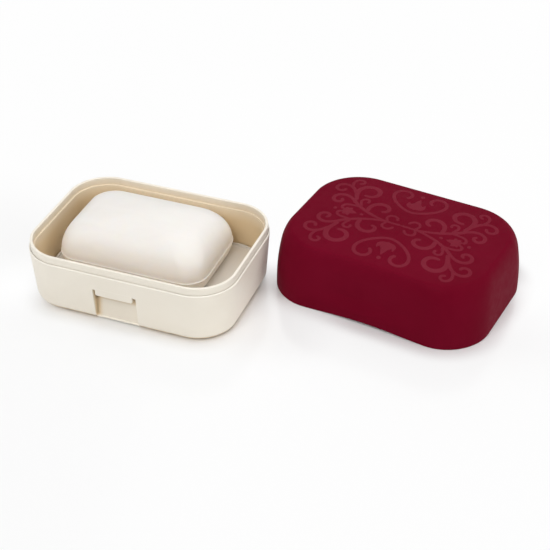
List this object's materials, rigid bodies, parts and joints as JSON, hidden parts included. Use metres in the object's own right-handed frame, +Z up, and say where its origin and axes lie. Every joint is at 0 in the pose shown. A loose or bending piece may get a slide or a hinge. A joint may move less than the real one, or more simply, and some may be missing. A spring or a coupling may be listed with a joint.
{
  "type": "soap box",
  "caption": "Travel soap box: a rounded base with a raised lip, a finger pocket and a press tab, a loose drain tray with a soap bar, and a crowned cover standing beside it.",
  "frame": {"origin": "middle of the base's flat underside, on the surface it stands on", "axes": "+X along the base towards the cover, +Y away from the press tab, +Z up"},
  "size_m": [0.2298, 0.1294, 0.0371],
  "materials": {
    "ivory_plastic": "satin",
    "stone_plastic": "satin",
    "milk_soap": "waxy satin",
    "burgundy_plastic": "satin"
  },
  "bodies": {
    "base": {"base_shell": "ivory_plastic"},
    "tab": {"press_tab": "ivory_plastic"},
    "tray": {"drain_tray": "stone_plastic"},
    "soap": {"soap_bar": "milk_soap"},
    "cover": {"cover": "burgundy_plastic"}
  },
  "joints": [
    {"name": "tab_press", "type": "hinge", "parent": "base", "child": "tab", "pos_m": [-0.0018, -0.03829, 0.0186], "axis": [1, 0, 0], "range_deg": [0, 10], "stiffness_Nm_per_rad": 0.02},
    {"name": "tray_lift", "type": "slide", "parent": "base", "child": "tray", "axis": [0, 0, 1], "range_m": [0, 0.035]},
    {"name": "soap_lift", "type": "slide", "parent": "tray", "child": "soap", "axis": [0, 0, 1], "range_m": [0, 0.03]},
    {"name": "cover_lift", "type": "slide", "parent": "base", "child": "cover", "axis": [0, 0, 1], "range_m": [0, 0.06]}
  ]
}
